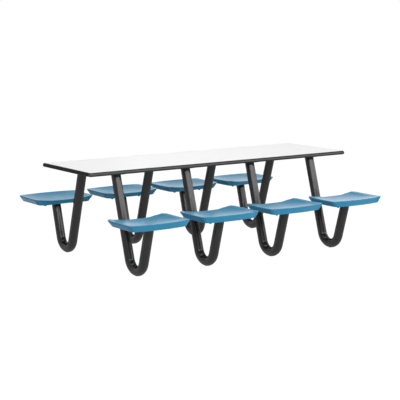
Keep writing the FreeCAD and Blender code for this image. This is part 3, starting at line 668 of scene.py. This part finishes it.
def seatShell():
    # one closed skin: sitting surface, rounded rim, wall, rounded foot, inner wall and underside
    wall, steps = seat["wall"], seat["steps"]
    foot, crest = wallTop(0, 0)
    way = sideways(crest[:, :2])
    upWall = unit(crest - foot)
    rim = rounding(crest, insideWay(crest, way, 0), -upWall, seat["rimRound"], steps["rim"])
    innerFoot, innerTop = wallTop(wall, wall)
    innerUp = unit(innerTop - innerFoot)
    inWay = insideWay(innerTop, way, wall)
    across = unit(innerFoot - foot)
    outerFoot = rounding(foot, upWall, across, seat["footRound"], steps["rounding"])
    backFoot = rounding(innerFoot, -across, innerUp, seat["footRound"], steps["rounding"])
    corner = rounding(innerTop, -innerUp, inWay, seat["innerRound"], steps["rounding"])
    share = np.linspace(0, 1, steps["wall"] + 2)[1:-1, None, None]
    outside = rim[-1] * (1 - share) + outerFoot[0] * share
    inside = backFoot[-1] * (1 - share) + corner[0] * share
    top = sheetRows(rim[0], 0, steps["top"])
    under = sheetRows(corner[-1], wall, steps["under"])[::-1]
    return skin(np.concatenate([top, rim, outside, outerFoot, backFoot, inside, corner, under]), poles=True)


def ribRun(height, fixed, along):
    # places along a rib at a height, evenly spaced, with both ends a little way into the walls
    share = wallShare(height)
    half, outer = edgeAt(share)[[0, 3]]
    bury = seat["wall"] - seat["root"]
    run = np.linspace(-1, 1, seat["steps"]["rib"])
    if along == "x":
        return (half - bury) * run
    first = tableSideOut(share, abs(fixed)) + bury
    last = outer - fixed ** 2 / (2 * seat["bow"]) - bury
    return (first + last) / 2 + (last - first) / 2 * run


def ribShell(fixed, along):
    # a thin rib: a four-cornered section, a little thinner at its lower edge, carried between the
    # walls; its top follows the underside, a little way into it
    low = ribRun(seat["ribLow"], fixed, along)
    high = ribRun(seat["rim"] - seat["ribDrop"], fixed, along)
    thick = seat["rib"] / 2
    thin = thick * seat["ribTaper"]
    section = [(low, -thin, False), (low, thin, False), (high, thick, True), (high, -thick, True)]
    rings = []
    for length, offset, upper in section:
        x, y = (length, fixed + offset) if along == "x" else (fixed + offset, length)
        x, y = np.broadcast_arrays(x, y)
        height = np.full(len(length), seat["ribLow"])
        if upper:
            height = seatTop(x, y) - seat["wall"] + seat["root"]
        rings.append(np.stack([x, y, height], axis=-1))
    return skin(np.stack(rings, axis=1), poles=True)


def bossShell(x, out):
    # a round post turned about its middle line: (radius, height) points from the insert's hole round
    # the foot and up the tapered side
    foot, hole, boss = seat["plateTop"], seat["insertHole"], seat["boss"]
    bevel = seat["holeBevel"]
    peak = seatTop(x, out) - seat["wall"] + seat["root"]
    profile = [(hole, foot + seat["insertDepth"]), (hole, foot + bevel), (hole + bevel, foot)]
    profile += [(boss + wider, foot + up) for wider, up in seat["bossFoot"]]
    profile += [(boss + wider, peak + up) for wider, up in seat["bossFlare"]]
    radii, heights = np.array(profile).T[..., None]
    turn = onceRound(seat["steps"]["boss"])
    ringX = x + radii * np.cos(turn)
    ringY = out + radii * np.sin(turn)
    height = np.broadcast_to(heights, ringX.shape)
    return skin(np.stack([ringX, ringY, height], axis=-1), poles=True)


def seatShells():
    # everything that is moulded in one seat, in the front row's place with its out distance as plus Y
    middle, holeX, holeY = seat["plateMiddle"], seat["holeX"], seat["holeY"]
    shells = [seatShell()]
    shells += [ribShell(middle + sign * holeY, "x") for sign in (-1, 1)]
    shells += [ribShell(x, "y") for x in (-holeX, 0, holeX)]
    shells += [bossShell(x, middle + sign * holeY) for x in (-holeX, holeX) for sign in (-1, 1)]
    return shells


moulded = seatShells()
flip = np.array([1, -1, 1])     # the front row's out distance runs along minus Y
for number, column in columns:
    for side in sides:
        shells = [
            (turned(points * flip, side) + np.array([column, 0, 0]), faces)
            for points, faces in moulded
        ]
        node = "%s_seat_%d" % (side, number)
        makePiece("%s_seat_shell_%d" % (side, number), shells, "blue_seat", [node], seat["sharpAngle"])
print("seats made")


# finishes of the CAD nodes that stay, by a word of their names or by the whole name, which goes first

slotOf = {
    "core": "core_board", "laminate": "white_laminate", "backer": "backing_sheet", "spine": "black_frame",
    "rail": "black_frame", "plate": "black_frame", "bolts": "zinc_steel", "nuts": "zinc_steel",
    "inserts": "insert_brass", "screws": "zinc_steel", "glides": "black_nylon",
    "seat_bolts": "black_steel", "seat_washers": "black_steel",
}
for name, node in nodes.items():
    kinds = [kind for kind in [*name.split("_"), name] if kind in slotOf]
    if kinds:
        for place in node.material_slots:
            place.material = finishes[slotOf[kinds[-1]]]
print("CAD nodes dressed")


# floor, world, lamps and camera

stage = {
    "floorSize": 40.0,
    "floorColour": (0.62, 0.62, 0.62),
    "floorRoughness": 0.9,
    "floorWhite": 0.86,       # share of plain white in the floor, for the camera and for reflections
    "floorGlow": 1.14,        # strength of that white
    "worldLight": 0.28,       # the world's strength on the object
    "worldSeen": 1.0,         # and where the camera or a reflection sees it, which is white
}


def seenRays(material):
    # 1 for rays from the camera, reflections and clear parts, 0 for the light that they pass on
    paths = addNode(material, "ShaderNodeLightPath")
    first = addNode(material, "ShaderNodeMath", {"operation": "MAXIMUM"})
    second = addNode(material, "ShaderNodeMath", {"operation": "MAXIMUM"})
    join(material, paths.outputs["Is Camera Ray"], first, 0)
    join(material, paths.outputs["Is Glossy Ray"], first, 1)
    join(material, first.outputs[0], second, 0)
    join(material, paths.outputs["Is Transmission Ray"], second, 1)
    return second.outputs[0]


def makeFloor():
    half = stage["floorSize"] / 2
    corners = [(-half, -half, 0), (half, -half, 0), (half, half, 0), (-half, half, 0)]
    mesh = bpy.data.meshes.new("floor")
    mesh.from_pydata(corners, [], [(0, 1, 2, 3)])
    floor = bpy.data.objects.new("floor", mesh)
    bpy.context.scene.collection.objects.link(floor)
    material, shader = newMaterial("paleFloor", {
        "Base Color": (*stage["floorColour"], 1),
        "Roughness": stage["floorRoughness"],
        "Specular IOR Level": 0.0,
    })
    white = addNode(material, "ShaderNodeEmission", Strength=stage["floorGlow"])
    amount = addNode(material, "ShaderNodeMath", {"operation": "MULTIPLY"})
    amount.inputs[1].default_value = stage["floorWhite"]
    mix = addNode(material, "ShaderNodeMixShader")
    join(material, seenRays(material), amount, 0)
    join(material, amount.outputs[0], mix, 0)
    join(material, shader.outputs[0], mix, 1)
    join(material, white.outputs[0], mix, 2)
    join(material, mix.outputs[0], material.node_tree.nodes["Material Output"], "Surface")
    mesh.materials.append(material)


def makeWorld():
    world = bpy.data.worlds.new("studio")
    world.use_nodes = True
    bpy.context.scene.world = world
    background = world.node_tree.nodes["Background"]
    background.inputs["Color"].default_value = (1, 1, 1, 1)
    level = addNode(world, "ShaderNodeMapRange", To_Min=stage["worldLight"], To_Max=stage["worldSeen"])
    join(world, seenRays(world), level, "Value")
    join(world, level.outputs["Result"], background, "Strength")


lamps = {
    "overhead": {"place": (-0.9, 0.7, 4.2), "aim": (-0.4, 0.6, 0.4), "size": (5.0, 3.4), "power": 92.0},
    "front": {"place": (-1.2, -3.9, 2.16), "aim": (-1.2, 0.0, 0.6), "size": (7.6, 0.60), "power": 92.0},
    "fill": {"place": (-0.6, -6.8, 0.95), "aim": (0.0, 0.0, 0.4), "size": (3.0, 1.0), "power": 26.0},
    "key": {"place": (3.6, -2.6, 1.70), "aim": (0.0, 0.0, 0.5), "size": (3.2, 0.95), "power": 36.0},
    "side": {"place": (5.5, -0.6, 1.4), "aim": (0.0, 0.0, 0.4), "size": (1.8, 2.4), "power": 34.0},
    "back": {"place": (3.7, 4.2, 1.1), "aim": (0.0, 0.0, 0.4), "size": (3.4, 2.0), "power": 14.0},
}


def makeLamps():
    for name, lamp in lamps.items():
        data = bpy.data.lights.new(name, "AREA")
        data.shape = "RECTANGLE"
        data.size, data.size_y = lamp["size"]
        data.energy = lamp["power"]
        panel = bpy.data.objects.new(name, data)
        panel.location = lamp["place"]
        aim = Vector(lamp["aim"]) - panel.location
        panel.rotation_euler = aim.to_track_quat("-Z", "Y").to_euler()
        bpy.context.scene.collection.objects.link(panel)


camera = {
    "place": (-5.3573, -7.6752, 1.9045),
    "yaw": 34.92,             # degrees to the right of +Y
    "pitch": 9.08,            # degrees down
    "lens": 105.6,            # millimetres, as the sensor's width
    "sensor": 36.0,
    "clipEnd": 100.0,
}


def makeCamera():
    data = bpy.data.cameras.new("camera")
    data.lens = camera["lens"]
    data.sensor_width = camera["sensor"]
    data.clip_end = camera["clipEnd"]
    eye = bpy.data.objects.new("camera", data)
    eye.location = camera["place"]
    eye.rotation_euler = (math.radians(90 - camera["pitch"]), 0, math.radians(-camera["yaw"]))
    bpy.context.scene.collection.objects.link(eye)
    bpy.context.scene.camera = eye


makeFloor()
makeWorld()
makeLamps()
makeCamera()
bpy.context.scene.view_settings.view_transform = "Standard"
print("stage, lamps and camera set")
